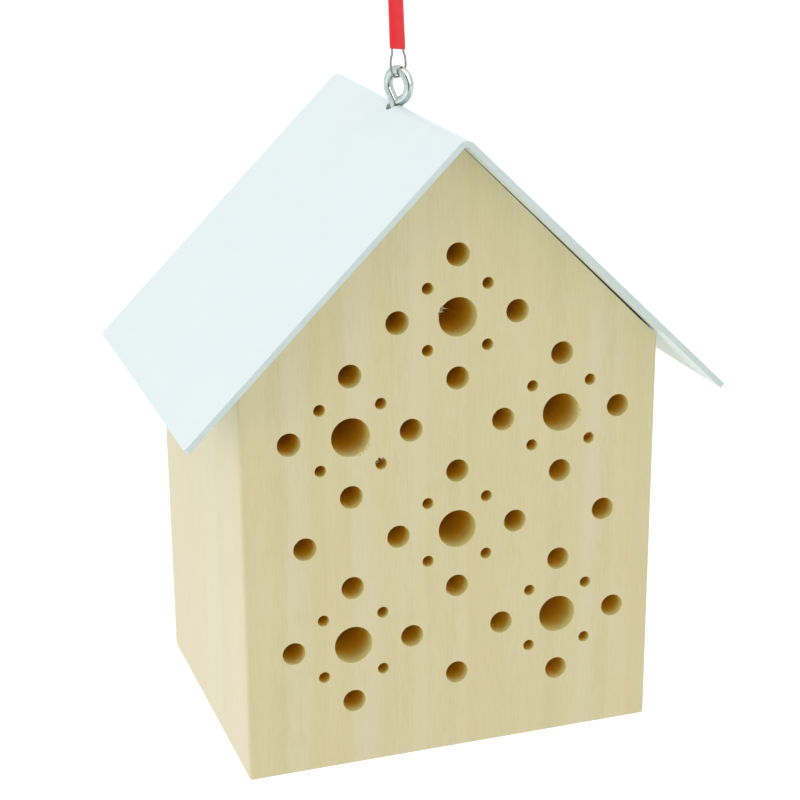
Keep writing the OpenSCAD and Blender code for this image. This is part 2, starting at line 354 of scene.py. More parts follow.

# %% [markdown]
# The front is sanded and pale. Inside a tunnel the drill has torn the grain, so the wall is rougher
# and more yellow. Deeper in, its colour turns orange: painted bounce light, for the light that
# bounces about in the tunnel. Narrow tunnels turn sooner, so the way in is counted in bores. The
# torn fibres are paler than the face, being fresh and thin.

# %% Wood
sanded_wood = wood_material(
    "sanded_wood", (0.785, 0.715, 0.44), (0.735, 0.65, 0.36), (0.775, 0.675, 0.375), 0.012, sheen=0.7
)
# The tunnels' deep colour is painted bounce light, not a colour of the wood.
drilled_wood = wood_material(
    "drilled_wood", (0.78, 0.745, 0.35), (0.73, 0.67, 0.27), (0.78, 0.69, 0.27), 0.05,
    deep=(0.9, 0.535, 0.015), **{"Fibre Width": 0.25, "Fibre Strength": 1.2},
)
torn_wood = wood_material(
    "torn_wood", (0.88, 0.81, 0.55), (0.80, 0.69, 0.40), (0.86, 0.76, 0.46), 0.01, **{"Fibre Width": 0.1}
)
print("three wood finishes share the grain")

# %% [markdown]
# The roof has a satin coat of cool white paint. Its cut edges and its hole get a greyer, darker
# copy of it, which is painted shade. The eye is bright zinc, the hanger drawn steel, the sleeve soft
# red plastic, and the ferrule plain aluminium.

# %% Paint, plating and plastic
roof_paint = even_material(
    "roof_paint", (0.80, 0.9, 0.91), (0.78, 0.885, 0.895), 14, 0.7, 0.004, (0.36, 0.44)
)
# A greyer, darker copy of the roof paint for the cut edges and the hole: painted shade.
painted_shade_edges = even_material(
    "painted_shade_edges", (0.71, 0.825, 0.795), (0.66, 0.78, 0.755), 5, 0.3, 0.008, (0.36, 0.5)
)
bright_zinc = even_material(
    "bright_zinc", (0.55, 0.635, 0.605), (0.46, 0.535, 0.51), 1.1, 0.35, 0.004, (0.12, 0.22), Metallic=1
)
drawn_steel = even_material(
    "drawn_steel", (0.40, 0.39, 0.375), (0.30, 0.29, 0.28), 0.8, 0.12, 0.004, (0.3, 0.42), Metallic=1
)
red_plastic = even_material(
    "red_plastic", (0.97, 0.022, 0.03), (0.92, 0.018, 0.026), 6, 1.5, 0.002, (0.28, 0.34),
    **{"Specular IOR Level": 0.36},
)
aluminium = even_material(
    "aluminium", (0.76, 0.76, 0.75), (0.62, 0.62, 0.62), 0.9, 0.2, 0.006, (0.28, 0.42), Metallic=1
)
print("materials:", [material.name for material in bpy.data.materials])

# %% [markdown]
# ## Running a geometry tree
# A Geometry Nodes tree is run once on a start mesh, and its result is kept as a plain mesh. Each
# tree ends the same way: instances become real, edges sharper than 35 degrees stay crisp, and the
# material is set.

# %% Helpers for geometry trees


def geometry_tree(name, inputs):
    """A tree from geometry to geometry, with these named inputs besides."""
    given_inputs = {"Geometry": (GEOMETRY, None), **inputs, "Material": (FINISH, None)}
    return new_group(name, "GeometryNodeTree", given_inputs, {"Geometry": GEOMETRY})


def end_tree(tree, shape, material, chosen=True):
    """Instances made real, smooth shading up to an edge angle, and the material."""
    real = put(tree, "GeometryNodeRealizeInstances", {"Geometry": shape})
    smooth = put(tree, "GeometryNodeSetShadeSmooth", {"Geometry": real.outputs[0], "Shade Smooth": True})
    bend = put(tree, "GeometryNodeInputMeshEdgeAngle").outputs["Unsigned Angle"]
    sharp = sum_up(tree, "GREATER_THAN", bend, math.radians(35))
    crisp = put(
        tree, "GeometryNodeSetShadeSmooth",
        {"Geometry": smooth.outputs[0], "Selection": sharp, "Shade Smooth": False}, domain="EDGE",
    )
    values = {"Geometry": crisp.outputs[0], "Selection": chosen, "Material": material}
    painted = put(tree, "GeometryNodeSetMaterial", values)
    put(tree, "NodeGroupOutput", {"Geometry": painted.outputs[0]})
    print(tree.name, "has", len(tree.nodes), "nodes")


def new_piece(name, mesh):
    piece = bpy.data.objects.new(name, mesh)
    scene.collection.objects.link(piece)
    return piece


def grow(name, start, tree, material, values=None):
    """Runs a tree on a start mesh and keeps the result as a plain mesh object."""
    seed = new_piece(name + "_start", start)
    modifier = seed.modifiers.new(tree.name, "NODES")
    modifier.node_group = tree
    chosen = {**(values or {}), "Material": material}
    for item in tree.interface.items_tree:
        if item.in_out == "INPUT" and item.name in chosen:
            modifier[item.identifier] = chosen[item.name]
    graph = bpy.context.evaluated_depsgraph_get()
    mesh = bpy.data.meshes.new_from_object(seed.evaluated_get(graph))
    seed.modifiers.remove(modifier)
    bpy.data.objects.remove(seed)
    piece = new_piece(name, mesh)
    print(name, "has", len(mesh.vertices), "points and", len(mesh.polygons), "faces")
    return piece


print("geometry helpers are ready")

# %% [markdown]
# Four things are needed again and again in the trees: where a point is, a shape moved, copies of a
# shape on points, and a value that is stored on a shape under a name and read later.

# %% Helpers for shapes in a tree


def position(tree):
    return put(tree, "GeometryNodeInputPosition").outputs[0]


def moved(tree, shape, rotation=(0, 0, 0), translation=(0, 0, 0)):
    values = {"Geometry": shape, "Rotation": rotation, "Translation": translation}
    return put(tree, "GeometryNodeTransform", values).outputs[0]


def copies(tree, points, shape, **more):
    return put(tree, "GeometryNodeInstanceOnPoints", {"Points": points, "Instance": shape, **more}).outputs[0]


def stored(tree, shape, name, value, kind, domain):
    values = {"Geometry": shape, "Name": name, "Value": value}
    node = put(tree, "GeometryNodeStoreNamedAttribute", values, data_type=kind, domain=domain)
    return node.outputs[0]


def recalled(tree, name, kind="FLOAT"):
    return put(tree, "GeometryNodeInputNamedAttribute", {"Name": name}, data_type=kind).outputs[0]


print("shape helpers are ready")

# %% [markdown]
# ## Wire along a path
# The hanger and the screw eye are both bent from round wire. A tree sweeps a circle along a path,
# and reads how thick the wire is from each point, so that the same tree can taper a tip or round
# off a cut end. A Bezier curve with a bevel could do the hanger, but not the eye's point.

# %% The wire tree
wire_tree, given = geometry_tree("wire along a path", {"Sides": (COUNT, 24)})
line = put(wire_tree, "GeometryNodeMeshToCurve", {"Mesh": given["Geometry"]})
circle = put(wire_tree, "GeometryNodeCurvePrimitiveCircle", {"Resolution": given["Sides"], "Radius": 1})
swept = put(
    wire_tree, "GeometryNodeCurveToMesh",
    {
        "Curve": line.outputs[0], "Profile Curve": circle.outputs[0],
        "Scale": recalled(wire_tree, "radius"), "Fill Caps": True,
    },
)
end_tree(wire_tree, swept.outputs[0], given["Material"])


def path_mesh(name, points, radii):
    """A line through the points, which holds the wire's radius at each."""
    mesh = bpy.data.meshes.new(name)
    mesh.from_pydata([tuple(point) for point in points], [(i, i + 1) for i in range(len(points) - 1)], [])
    mesh.attributes.new("radius", "FLOAT", "POINT").data.foreach_set("value", radii)
    return mesh


# %% [markdown]
# ## The hanger wire
# One thin steel wire comes down in two strands, passes under the top of the ring, and closes in a
# loop above the photograph's edge, where a hook would hold it. The house pulls it straight, so the
# strands hardly curve, and only the two turns at the ring and at the hook are round. The points of
# its route are those of the solid model, as sideways and up from the middle of the ring's wire.

# %% Route of the hanger wire
ring_top = Vector(next(joint["pos_m"] for joint in frame["joints"] if joint["name"] == "house_swing"))
EYE_TURN = math.radians(-66)
HANGER_LEAN = math.radians(2.5)
hanger_frame = (
    Matrix.Translation(ring_top) @ Matrix.Rotation(EYE_TURN, 4, "Z") @ Matrix.Rotation(HANGER_LEAN, 4, "X")
)
WIRE_R = 0.3
STRAND = 1.97
LOOP_R = 3.6
LOOP_Z = 31.1
FERRULE_Z = 28.6
END_SPACE = 0.1
route_down = [
    (LOOP_R, FERRULE_Z - END_SPACE), (LOOP_R, 26.1), (LOOP_R - 0.3, 24.9), (STRAND + 0.4, 23.7),
    (STRAND, 22.7), (STRAND, 17.7), (STRAND, 9.9), (STRAND, 4.6),
    (2.2, 4), (2.5, 2.8), (2.6, 1.6), (2.5, 0.4), (2.1, -0.8), (1.2, -1.6),
]
route_under = (0, -1.7)
route_up = [(-side, up) for side, up in reversed(route_down[1:])]
route_over = [(-LOOP_R, FERRULE_Z)]
for degrees in range(180, -1, -45):
    around = math.radians(degrees)
    route_over.append((LOOP_R * math.cos(around), LOOP_Z + LOOP_R * math.sin(around)))
route_over.append((LOOP_R, FERRULE_Z + END_SPACE))
route = [Vector((0, *point)) for point in route_down + [route_under] + route_up + route_over]
print("points on the route:", len(route))

# %% [markdown]
# A curve through those points gives the wire its bends. The two strands are also twisted a little
# round each other, as the photograph shows them at the sleeve.

# %% Bend the hanger wire
TWIST = 5


def smooth_line(points, steps):
    """A smooth curve through the points, with this many steps from one to the next."""
    line = []
    for i in range(len(points) - 1):
        before, start = points[max(i - 1, 0)], points[i]
        end, after = points[i + 1], points[min(i + 2, len(points) - 1)]
        for step in range(steps):
            t = step / steps
            ease = t * t * (3 - 2 * t)
            leave, arrive = (end - before) / 2, (after - start) / 2
            line.append(
                (1 - ease) * start + ease * end
                + t * (1 - t) ** 2 * leave - (1 - t) * t * t * arrive
            )
    return line + [points[-1]]


def in_hanger(point):
    """A place in millimetres from the top of the ring, in the leaning frame of the strands."""
    across, side, up = point
    twist = math.radians(TWIST * max(0, min(1, (up - 2) / 18, (28 - up) / 5)))
    turned = Vector((across * math.cos(twist) - side * math.sin(twist), 0, up))
    turned.y = across * math.sin(twist) + side * math.cos(twist)
    return hanger_frame @ (turned * MM)


wire_line = [in_hanger(point) for point in smooth_line(route, 6)]
hanger_wire = grow(
    "hanger_wire_drawn", path_mesh("hanger_path", wire_line, [WIRE_R * MM] * len(wire_line)),
    wire_tree, drawn_steel, {"Sides": 20},
)

# %% [markdown]
# ## The red sleeve
# The sleeve is a soft tube, pressed flat over both strands and cut a little askew. Its broad sides
# sink a little between the wires. A cylinder could be pressed flat with a lattice, but a formula
# for its outline keeps the wall even. The ferrule is a tube with a wall too, so one helper takes
# the outline at each height and closes it into a shell.

# %% Helper for shells


def shell_mesh(name, outside, inside):
    """A tube with a wall, from the outlines of its outside and inside at the same heights."""
    rings = outside + inside[::-1]
    count = len(rings[0])
    faces = []
    for i in range(len(rings)):
        this, after = i * count, (i + 1) % len(rings) * count
        for k in range(count):
            other = (k + 1) % count
            faces.append((this + k, this + other, after + other, after + k))
    mesh = bpy.data.meshes.new(name)
    mesh.from_pydata([tuple(point) for ring in rings for point in ring], [], faces)
    shape = bmesh.new()
    shape.from_mesh(mesh)
    bmesh.ops.recalc_face_normals(shape, faces=shape.faces)
    shape.to_mesh(mesh)
    shape.free()
    mesh.shade_smooth()
    print(name, "has", len(faces), "faces")
    return mesh


# %% Make the sleeve
SLEEVE_W, SLEEVE_T, SLEEVE_WALL = 5.0, 1.9, 0.2
SLEEVE_Z, SLEEVE_LEN = 4.9, 15.6
ASKEW = 0.95


def flat_ring(width, thickness, sink, share, count=48):
    """A flattened ring round both strands, whose broad sides sink between them."""
    ring = []
    for k in range(count):
        around = 2 * math.pi * k / count
        side, out = math.cos(around), math.sin(around)
        flat_side = math.copysign(abs(side) ** 0.8, side) * width / 2
        bulge = math.copysign(abs(out) ** 0.75, out) * thickness / 2
        dip = sink * math.exp(-((flat_side / 1.2) ** 2)) * math.copysign(min(1, abs(out) * 2), out)
        askew = ASKEW * (1 - share) * (0.5 - flat_side / SLEEVE_W)
        ring.append(in_hanger((bulge - dip, flat_side, SLEEVE_Z + SLEEVE_LEN * share + askew)))
    return ring


def sleeve_rings(inset):
    """Outlines from the lower to the upper end. The outside rounds in at both ends."""
    rings = []
    steps = 26
    for i in range(steps + 1):
        share = i / steps
        lip = 0.05 * (math.exp(-((share * 22) ** 2)) + math.exp(-(((1 - share) * 22) ** 2)))
        wave = 0.03 * math.sin(share * 9 + 0.6)
        slim = 2 * (inset + (lip if inset == 0 else 0))
        rings.append(flat_ring(SLEEVE_W - slim, SLEEVE_T - slim + wave, 0.1 + wave, share))
    return rings


sleeve = new_piece("hanger_sleeve_red", shell_mesh("sleeve", sleeve_rings(0), sleeve_rings(SLEEVE_WALL)))
sleeve.data.materials.append(red_plastic)

# %% [markdown]
# ## The ferrule
# A short metal tube joins the two ends of the wire. Pliers have pressed it in two places, where it
# is thinner one way and a little wider the other. Two dents in a formula give that, and follow the
# tube's wall without any sculpting.

# %% Make the ferrule
FERRULE_LEN, FERRULE_R, BORE_R = 4.4, 0.8, 0.33
FERRULE_SIDES = 32


def ferrule_rings(radius, pressed):
    """Outlines of the tube from end to end. The bore isn't pressed, as the wire fills it."""
    rings = []
    steps = 28
    for i in range(steps + 1):
        share = i / steps
        dent = math.exp(-(((share - 0.28) / 0.1) ** 2)) + math.exp(-(((share - 0.72) / 0.1) ** 2))
        end = 0.12 * math.exp(-((min(share, 1 - share) * 16) ** 2))
        across = radius * (1 - 0.24 * dent * pressed - end * pressed)
        along = radius * (1 + 0.05 * dent * pressed - end * pressed)
        height = FERRULE_Z + FERRULE_LEN * (share - 0.5)
        ring = []
        for k in range(FERRULE_SIDES):
            around = k * 2 * math.pi / FERRULE_SIDES
            ring.append(in_hanger((across * math.cos(around), LOOP_R + along * math.sin(around), height)))
        rings.append(ring)
    return rings


ferrule_shell = shell_mesh("ferrule", ferrule_rings(FERRULE_R, 1), ferrule_rings(BORE_R, 0))
ferrule = new_piece("crimp_ferrule_crimped", ferrule_shell)
ferrule.data.materials.append(aluminium)

# %% [markdown]
# The wire's whole length is in view or just above the photograph, so no coil is put away. Its ends
# meet in the ferrule, which is the fitting at its far end.

# %% Hang the wire, the sleeve and the ferrule on their bodies
for piece, body, node, slot in (
    (hanger_wire, "hanger", "hanger_wire", "wire_steel"),
    (ferrule, "hanger", "crimp_ferrule", "ferrule_metal"),
    (sleeve, "sleeve", "hanger_sleeve", "sleeve_plastic"),
):
    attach(piece, body)
    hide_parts(node)
    print(piece.name, "rides on the", body)

# %% [markdown]
# ## The screw eye
# The eye is bent from one steel wire: a straight shank that screws into the block, a neck that
# bends left into a leaning leg, and a ring that comes round and runs straight back, until its cut
# end meets the leg. That makes the opening a teardrop with its point down in the roof's hole. A
# torus on a cylinder would look soldered, so the path is drawn as it was bent: arc by arc.

# %% Sizes of the screw eye
EYE_R = 1.3
RING_R = 3.85
NECK_R = 1.6
RING_OFFSET = 1.4
LEG_LEAN, END_LEAN = math.radians(35), math.radians(60)
SHANK_LEN, POINT_LEN = 22, 3
CORE_R, TIP_R = 0.95, 0.2
COLLAR, COLLAR_TAPER = 4.5, 0.6
END_GAP = 0.15
both_r = RING_R + NECK_R
leg_len = (both_r * math.cos(LEG_LEAN) - RING_OFFSET - NECK_R) / math.sin(LEG_LEAN)
ring_up = both_r * math.sin(LEG_LEAN) + leg_len * math.cos(LEG_LEAN)
end_turn = LEG_LEAN + END_LEAN
end_len = ((RING_R - EYE_R) * (1 + math.cos(end_turn)) - END_GAP) / math.sin(end_turn)
ridge_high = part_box("roof_sheet")[1].z
eye_foot = ring_top - Matrix.Rotation(EYE_TURN, 3, "Z") @ Vector((RING_OFFSET, 0, ring_up + RING_R)) * MM
shank_bottom = (ridge_high - eye_foot.z) / MM - SHANK_LEN
print("the leg is", round(leg_len, 2), "mm long, and the ring's straight end", round(end_len, 2))

# %% Bend the screw eye


def in_eye(side, up):
    """A place in the plane of the ring, in millimetres from the top of the straight shank."""
    return eye_foot + Matrix.Rotation(EYE_TURN, 3, "Z") @ Vector((side, 0, up)) * MM


eye_path = [
    (in_eye(0, shank_bottom), TIP_R), (in_eye(0, shank_bottom + POINT_LEN), CORE_R),
    (in_eye(0, shank_bottom + SHANK_LEN - COLLAR), CORE_R),
    (in_eye(0, shank_bottom + SHANK_LEN - COLLAR + COLLAR_TAPER), EYE_R),
]
for step in range(21):
    bend = LEG_LEAN * step / 20
    eye_path.append((in_eye(NECK_R * (math.cos(bend) - 1), NECK_R * math.sin(bend)), EYE_R))
for step in range(121):
    bend = math.pi + LEG_LEAN - (math.pi + end_turn) * step / 120
    side, up = RING_OFFSET + RING_R * math.cos(bend), ring_up + RING_R * math.sin(bend)
    eye_path.append((in_eye(side, up), EYE_R))
round_end = eye_path[-1][0]
cut_face = round_end + (in_eye(-math.sin(END_LEAN), -math.cos(END_LEAN)) - in_eye(0, 0)) * end_len
for before_cut, thinner in ((0.3, 0), (0.1, 0.01), (0.03, 0.06), (0, 0.14)):
    share = 1 - before_cut / end_len
    eye_path.append((round_end.lerp(cut_face, share), EYE_R - thinner))
off_joint = (in_eye(RING_OFFSET, ring_up + RING_R) - ring_top).length
print("the ring's top is off the joint by", round(off_joint / MM, 4), "mm")
screw_eye = grow(
    "screw_eye_bent",
    path_mesh("eye_path", [point for point, _ in eye_path], [radius * MM for _, radius in eye_path]),
    wire_tree, bright_zinc, {"Sides": 48},
)
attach(screw_eye, "house")
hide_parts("screw_eye")

# %% [markdown]
# ## The thread
# A wood thread is a thin ridge wound round the shank. The Screw modifier could wind it, but it
# can't narrow towards the point. In a geometry tree the spiral narrows with its height, and so
# does the ridge that is swept along it.

# %% The thread tree
thread_tree, given = geometry_tree(
    "thread on a point",
    {
        "Turns": (NUMBER, 10), "Length": (NUMBER, 0.014), "Core Radius": (NUMBER, CORE_R * MM),
        "Point Length": (NUMBER, POINT_LEN * MM), "Ridge": (NUMBER, 0.33 * MM),
    },
)
spiral = put(
    thread_tree, "GeometryNodeCurveSpiral",
    {
        "Resolution": 24, "Rotations": given["Turns"], "Start Radius": given["Core Radius"],
        "End Radius": given["Core Radius"], "Height": given["Length"],
    },
)
spot = position(thread_tree)
slope = put(
    thread_tree, "ShaderNodeMapRange",
    {
        "Value": part_of(thread_tree, spot, "Z"), "From Min": 0, "From Max": given["Point Length"],
        "To Min": 0.35, "To Max": 1,
    },
).outputs[0]
narrow_spot = vector_sum(thread_tree, "MULTIPLY", spot, join_xyz(thread_tree, slope, slope, 1))
narrowed = put(
    thread_tree, "GeometryNodeSetPosition",
    {"Geometry": spiral.outputs[0], "Position": narrow_spot},
)
upright = put(thread_tree, "GeometryNodeSetCurveNormal", {"Curve": narrowed.outputs[0]}, mode="Z_UP")
ridge = put(thread_tree, "GeometryNodeCurvePrimitiveCircle", {"Resolution": 4, "Radius": given["Ridge"]})
wound = put(
    thread_tree, "GeometryNodeCurveToMesh",
    {"Curve": upright.outputs[0], "Profile Curve": ridge.outputs[0], "Scale": slope, "Fill Caps": True},
)
end_tree(thread_tree, wound.outputs[0], given["Material"])

# %% Wind the thread
THREAD_PITCH = 1.25
THREAD_START, THREAD_SHORTER = 0.9, 2.2
thread_length = SHANK_LEN - COLLAR - THREAD_SHORTER
eye_thread = grow(
    "screw_eye_thread", bpy.data.meshes.new("thread_start"), thread_tree, bright_zinc,
    {"Turns": thread_length / THREAD_PITCH, "Length": thread_length * MM},
)
eye_thread.data.transform(Matrix.Translation(in_eye(0, shank_bottom + THREAD_START)))
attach(eye_thread, "house")

# %% [markdown]
# ## The roof
# The roof is one flat sheet, bent once along the ridge. Two planks that meet at the ridge would
# have a seam there. So its cross-section is drawn as an arc between two straight panels, and pulled
# out to the length of the roof. The corners of the sheet are rounded in plan.

# %% Draw the bent sheet
SHEET_T, BEND_R, PANEL_LEN = 1.5, 1.2, 97.5
LEFT_PITCH, RIGHT_PITCH = math.radians(44.6), math.radians(44.2)
FRONT_OVERHANG, ROOF_LEN = 8.3, 102
BEND_STEPS = 24
ridge_z = (ridge_high - front_foot.z) / MM
bend_z = ridge_z - SHEET_T - BEND_R
flat_len = PANEL_LEN - BEND_R * math.tan(LEFT_PITCH)


def bend_line(radius):
    """The bent line at this radius, from the right eave over the ridge to the left eave."""
    first = math.pi / 2 - RIGHT_PITCH
    last = math.pi / 2 + LEFT_PITCH
    arc = []
    for step in range(BEND_STEPS + 1):
        around = first + (last - first) * step / BEND_STEPS
        arc.append(Vector((radius * math.cos(around), bend_z + radius * math.sin(around))))
    down_right = Vector((math.cos(RIGHT_PITCH), -math.sin(RIGHT_PITCH))) * flat_len
    down_left = Vector((-math.cos(LEFT_PITCH), -math.sin(LEFT_PITCH))) * flat_len
    return [arc[0] + down_right] + arc + [arc[-1] + down_left]


def extruded(name, outline, front, back):
    """A solid from an outline in the plane of the front, from one depth to another."""
    count = len(outline)
    points = [tuple(in_house(x, depth, z)) for depth in (front, back) for x, z in outline]
    sides = [(k, (k + 1) % count, (k + 1) % count + count, k + count) for k in range(count)]
    ends = [tuple(range(count)), tuple(range(count, 2 * count))]
    mesh = bpy.data.meshes.new(name)
    mesh.from_pydata(points, [], sides + ends)
    shape = bmesh.new()
    shape.from_mesh(mesh)
    bmesh.ops.recalc_face_normals(shape, faces=shape.faces)
    return mesh, shape


sheet_outline = bend_line(BEND_R + SHEET_T) + bend_line(BEND_R)[::-1]
roof_mesh, shape = extruded("roof", sheet_outline, -FRONT_OVERHANG, ROOF_LEN - FRONT_OVERHANG)
corners = [edge for edge in shape.edges if abs(edge.calc_length() - SHEET_T * MM) < 1e-6]
bmesh.ops.bevel(shape, geom=corners, offset=0.9 * MM, segments=4, profile=0.5, affect="EDGES")
shape.to_mesh(roof_mesh)
shape.free()
print("sheet corners rounded:", len(corners))

# %% [markdown]
# The hole for the eye goes through the bent ridge, where no flat face is left to cut by hand, so a
# Boolean with a round drill makes it. The drill is taken away afterwards, and only the plain mesh
# is kept.

# %% Drill the sheet
ROOF_HOLE = 5.2
HOLE_SHIFT = 0.4
BEHIND_MIDDLE = 1.3
EYE_Y = ROOF_LEN / 2 - FRONT_OVERHANG + BEHIND_MIDDLE
hole_middle = in_house(HOLE_SHIFT * math.cos(EYE_TURN), EYE_Y + HOLE_SHIFT * math.sin(EYE_TURN), ridge_z)
drill_mesh = bpy.data.meshes.new("drill")
shape = bmesh.new()
bmesh.ops.create_cone(
    shape, cap_ends=True, segments=64, radius1=ROOF_HOLE / 2 * MM, radius2=ROOF_HOLE / 2 * MM, depth=8 * MM,
    matrix=Matrix.Translation(hole_middle),
)
shape.to_mesh(drill_mesh)
shape.free()
drill = new_piece("drill", drill_mesh)
roof = new_piece("roof_sheet_painted", roof_mesh)
cut = roof.modifiers.new("hole", "BOOLEAN")
cut.object = drill
cut.solver = "EXACT"
drilled = bpy.data.meshes.new_from_object(roof.evaluated_get(bpy.context.evaluated_depsgraph_get()))
roof.modifiers.remove(cut)
bpy.data.objects.remove(drill)
roof.data = drilled
print("roof has", len(roof.data.polygons), "faces with its hole")

# %% [markdown]
# The front, the back, the eaves and the hole get a greyer, darker paint than the panels, as painted
# shade. A fine bevel stands for the paint that gathers along the edges.

# %% Paint the sheet
roof.data.materials.clear()
roof.data.materials.append(roof_paint)
roof.data.materials.append(painted_shade_edges)
# Faces that face front or back, the eaves and the hole wall take the darker copy: painted shade.
for face in roof.data.polygons:
    at_eave = face.normal.z < -0.1 and face.normal.x * (face.center.x - front_foot.x) > 0
    in_hole = (face.center - hole_middle).xy.length < (ROOF_HOLE / 2 + 0.1) * MM
    face.material_index = 1 if in_hole or at_eave or abs(face.normal.y) > 0.5 else 0
roof.data.shade_smooth()
edges = roof.modifiers.new("paint edge", "BEVEL")
edges.width = 0.22 * MM
edges.segments = 3
edges.limit_method = "ANGLE"
edges.angle_limit = math.radians(40)
edges.harden_normals = True
edges.material = 0
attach(roof, "house")
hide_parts("roof_sheet")
print("faces in painted shade edges:", sum(face.material_index for face in roof.data.polygons))

# %% [markdown]
# ## The pattern of tunnels
# Each flower is one large tunnel, four medium ones round it and four small ones between them. Six
# flowers stand in a diamond, with a single medium tunnel to the left, below and to the right. The
# 57 places could be listed one by one, but the rule says more in less, and stays true when a size
# changes. It is a geometry group of its own: it takes any three shapes and lays them out. The
# drills use it, and the torn rims use it again.

# %% The pattern group
pattern, given = new_group(
    "nest pattern",
    "GeometryNodeTree",
    {
        "Large": (GEOMETRY, None), "Medium": (GEOMETRY, None), "Small": (GEOMETRY, None),
        "Petal Reach": (NUMBER, 15.75 * MM), "Flower Step": (NUMBER, 28 * MM),
        "Single Reach": (NUMBER, 40.3 * MM),
    },
    {"Geometry": GEOMETRY},
)


def four_points(tree, reach, turned=0.0):
    """Four points round the middle, in the plane of the front."""
    ring = put(tree, "GeometryNodeMeshCircle", {"Vertices": 4, "Radius": reach})
    return moved(tree, moved(tree, ring.outputs[0], (0, 0, turned)), (math.pi / 2, 0, 0))


petals = copies(pattern, four_points(pattern, given["Petal Reach"]), given["Medium"])
half_reach = product(pattern, given["Petal Reach"], math.sqrt(0.5))
seeds = copies(pattern, four_points(pattern, half_reach, math.pi / 4), given["Small"])
flower = put(pattern, "GeometryNodeJoinGeometry", {0: [given["Large"], petals, seeds]}).outputs[0]
top_step = join_xyz(pattern, z=product(pattern, given["Flower Step"], 2))
column = put(pattern, "GeometryNodeMeshLine", {"Count": 2, "Offset": top_step})
corner_reach = product(pattern, given["Flower Step"], math.sqrt(2))
corner_points = four_points(pattern, corner_reach, math.pi / 4)
flower_points = put(pattern, "GeometryNodeJoinGeometry", {0: [column.outputs[0], corner_points]})
flowers = copies(pattern, flower_points.outputs[0], flower)
above = sum_up(pattern, "GREATER_THAN", part_of(pattern, position(pattern), "Z"), 1 * MM)
around = four_points(pattern, given["Single Reach"])
three = put(pattern, "GeometryNodeDeleteGeometry", {"Geometry": around, "Selection": above})
singles = copies(pattern, three.outputs[0], given["Medium"])
both = put(pattern, "GeometryNodeJoinGeometry", {0: [flowers, singles]})
put(pattern, "NodeGroupOutput", {"Geometry": both.outputs[0]})
PATTERN_SHIFT, PATTERN_Z = 1.0, 61.784
pattern_middle = in_house(PATTERN_SHIFT, 0, PATTERN_Z)
print("pattern group has", len(pattern.nodes), "nodes")

# %% [markdown]
# A drill lifts the grain here and there as it enters, mostly in patches. This small group says how
# torn the wood is at each place: a little at random, and fully at the five rims that are broken in
# the photograph. Both the rims and the loose fibres ask it, so the fibres stand where the rim is
# broken.

# %% The torn places group
torn, given = new_group(
    "torn places", "GeometryNodeTree", {"Patch Size": (NUMBER, 3.2 * MM)}, {"Torn": NUMBER}
)
spot = position(torn)
field = noise(torn, spot, sum_up(torn, "DIVIDE", 1, given["Patch Size"]), detail=1)
most = stretch(torn, field, 0.7, 0.8)
BROKEN_RIMS = ((-23.1, 86.7, 3.6), (-19.5, 83.1, 1.7), (33.9, 89, 2.4), (-43, 34.2, 1.9), (-3.6, 120, 1.6))
for x, z, reach in BROKEN_RIMS:
    away = vector_sum(torn, "DISTANCE", spot, in_house(x, 0, z))
    most = sum_up(torn, "MAXIMUM", most, stretch(torn, away, 0.6 * reach * MM, reach * MM, 1, 0))
put(torn, "NodeGroupOutput", {"Torn": most})
print("broken rims:", len(BROKEN_RIMS))

# %% [markdown]
# ## The block
# The block is sawn from a board as one prism with a gable, and its corners and base are sanded
# round. Only those edges are eased: the gable's edges lie under the roof and stay as sawn, except
# that the ridge is rounded to fit the bend of the sheet.

# %% Saw the block
BLOCK_W, BLOCK_D, EAVE_H = 110.5, 85, 107.3
apex_z = EAVE_H + BLOCK_W / 2 * math.tan(LEFT_PITCH)
round_z = apex_z - BEND_R / math.cos(LEFT_PITCH)
outline = [(-BLOCK_W / 2, 0), (BLOCK_W / 2, 0), (BLOCK_W / 2, EAVE_H)]
for step in range(13):
    around = math.pi / 2 + LEFT_PITCH * (step / 6 - 1)
    outline.append((BEND_R * math.cos(around), round_z + BEND_R * math.sin(around)))
outline.append((-BLOCK_W / 2, EAVE_H))
block_mesh, shape = extruded("block", outline, 0, BLOCK_D)


def is_eased(edge):
    """The upright corners and the edges of the base are sanded round."""
    a, b = (vertex.co for vertex in edge.verts)
    upright = abs(a.z - b.z) > 100 * MM and abs(a.x - b.x) < 1 * MM
    return upright or max(a.z, b.z) < front_foot.z + 1 * MM


eased = [edge for edge in shape.edges if is_eased(edge)]
bmesh.ops.bevel(shape, geom=eased, offset=0.8 * MM, segments=5, profile=0.5, affect="EDGES")
shape.to_mesh(block_mesh)
shape.free()
block_mesh.materials.append(sanded_wood)
print("edges eased:", len(eased))

# %% [markdown]
# ## Drilling the block
# One tree lays out plain drills and takes them out of the block, and with them flat cones that
# nick each rim. The cones move in and out along the drill by a noise, which makes the rims a little
# ragged. Fifty-seven Boolean modifiers would do the same, slower. Every drill is marked, so that
# the walls it leaves know that they are drilled, and how wide.

# %% Lay out the drills
BORES = {"Large": (NUMBER, 10 * MM), "Medium": (NUMBER, 6 * MM), "Small": (NUMBER, 3 * MM)}
drill_tree, given = geometry_tree(
    "drill the block",
    {
        **BORES, "Depth": (NUMBER, 70 * MM), "Small Depth": (NUMBER, 50 * MM),
        "Nick": (NUMBER, 0.1 * MM), "Ragged": (NUMBER, 0.12 * MM), "Tear": (NUMBER, 0.75 * MM),
    },
)
CONE = 0.9 * MM


